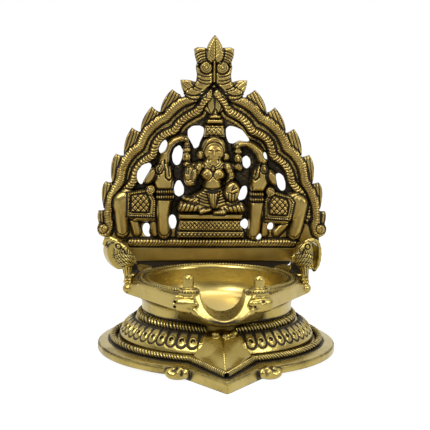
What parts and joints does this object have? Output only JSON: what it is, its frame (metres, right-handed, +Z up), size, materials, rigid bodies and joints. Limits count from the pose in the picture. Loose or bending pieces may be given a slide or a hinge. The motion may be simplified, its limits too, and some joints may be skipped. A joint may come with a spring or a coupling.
{
  "type": "oil lamp",
  "caption": "Cast brass oil lamp: round foot with a pointed prow, oil bowl with a wick spout and posts, bird brackets and a pierced arched back plate.",
  "frame": {"origin": "centre of the bounding box on the resting plane", "axes": "+Z up, the wick spout and the pointed prow point to -Y, the back plate stands towards +Y"},
  "size_m": [0.1086, 0.1252, 0.1396],
  "materials": {
    "polished_brass": "polished cast brass with dirt in the grooves",
    "antique_brass": "antiqued cast brass with dark recesses",
    "fastener_brass": "plain turned brass, dull"
  },
  "bodies": {
    "root": {"foot": "polished_brass", "bowl": "polished_brass", "bowl_stud": "fastener_brass", "clamp_washer": "fastener_brass", "clamp_nut": "fastener_brass", "wick_post_left": "polished_brass", "wick_post_right": "polished_brass", "bird_bracket_left": "polished_brass", "bird_bracket_right": "polished_brass", "plate_rivet_left": "fastener_brass", "plate_rivet_right": "fastener_brass", "back_plate": "antique_brass"}
  },
  "joints": []
}
